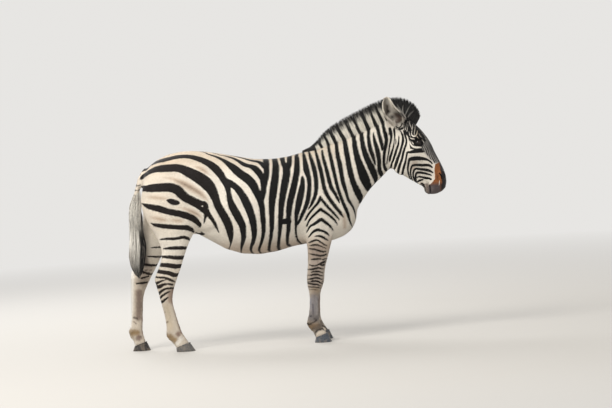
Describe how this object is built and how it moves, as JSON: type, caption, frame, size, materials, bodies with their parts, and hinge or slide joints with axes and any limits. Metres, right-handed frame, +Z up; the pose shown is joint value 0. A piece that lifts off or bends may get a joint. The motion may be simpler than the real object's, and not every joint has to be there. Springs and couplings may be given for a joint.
{
  "type": "zebra",
  "caption": "Life-size plains zebra standing still, striped all over, with an upright mane and a tufted tail.",
  "frame": {"origin": "on the floor, under the middle of the animal's length and width", "axes": "+X towards the head, +Y towards the animal's left, +Z up"},
  "size_m": [2.24, 0.532, 1.6232],
  "materials": {
    "coat": "short flat hair over hide, cream with black stripes",
    "hair": "coarse long hair",
    "hoof": "dull horn with growth rings",
    "eye": "wet and dark"
  },
  "bodies": {
    "root": {"head": "coat", "neck": "coat", "trunk": "coat", "tail_dock": "coat", "ear_left": "coat", "ear_right": "coat", "leg_fore_left_upper": "coat", "leg_fore_left_lower": "coat", "leg_fore_right_upper": "coat", "leg_fore_right_lower": "coat", "leg_hind_left_upper": "coat", "leg_hind_left_lower": "coat", "leg_hind_right_upper": "coat", "leg_hind_right_lower": "coat", "mane": "hair", "tail_switch": "hair", "hoof_fore_left": "hoof", "hoof_fore_right": "hoof", "hoof_hind_left": "hoof", "hoof_hind_right": "hoof", "eye_left": "eye", "eye_right": "eye"}
  },
  "joints": []
}
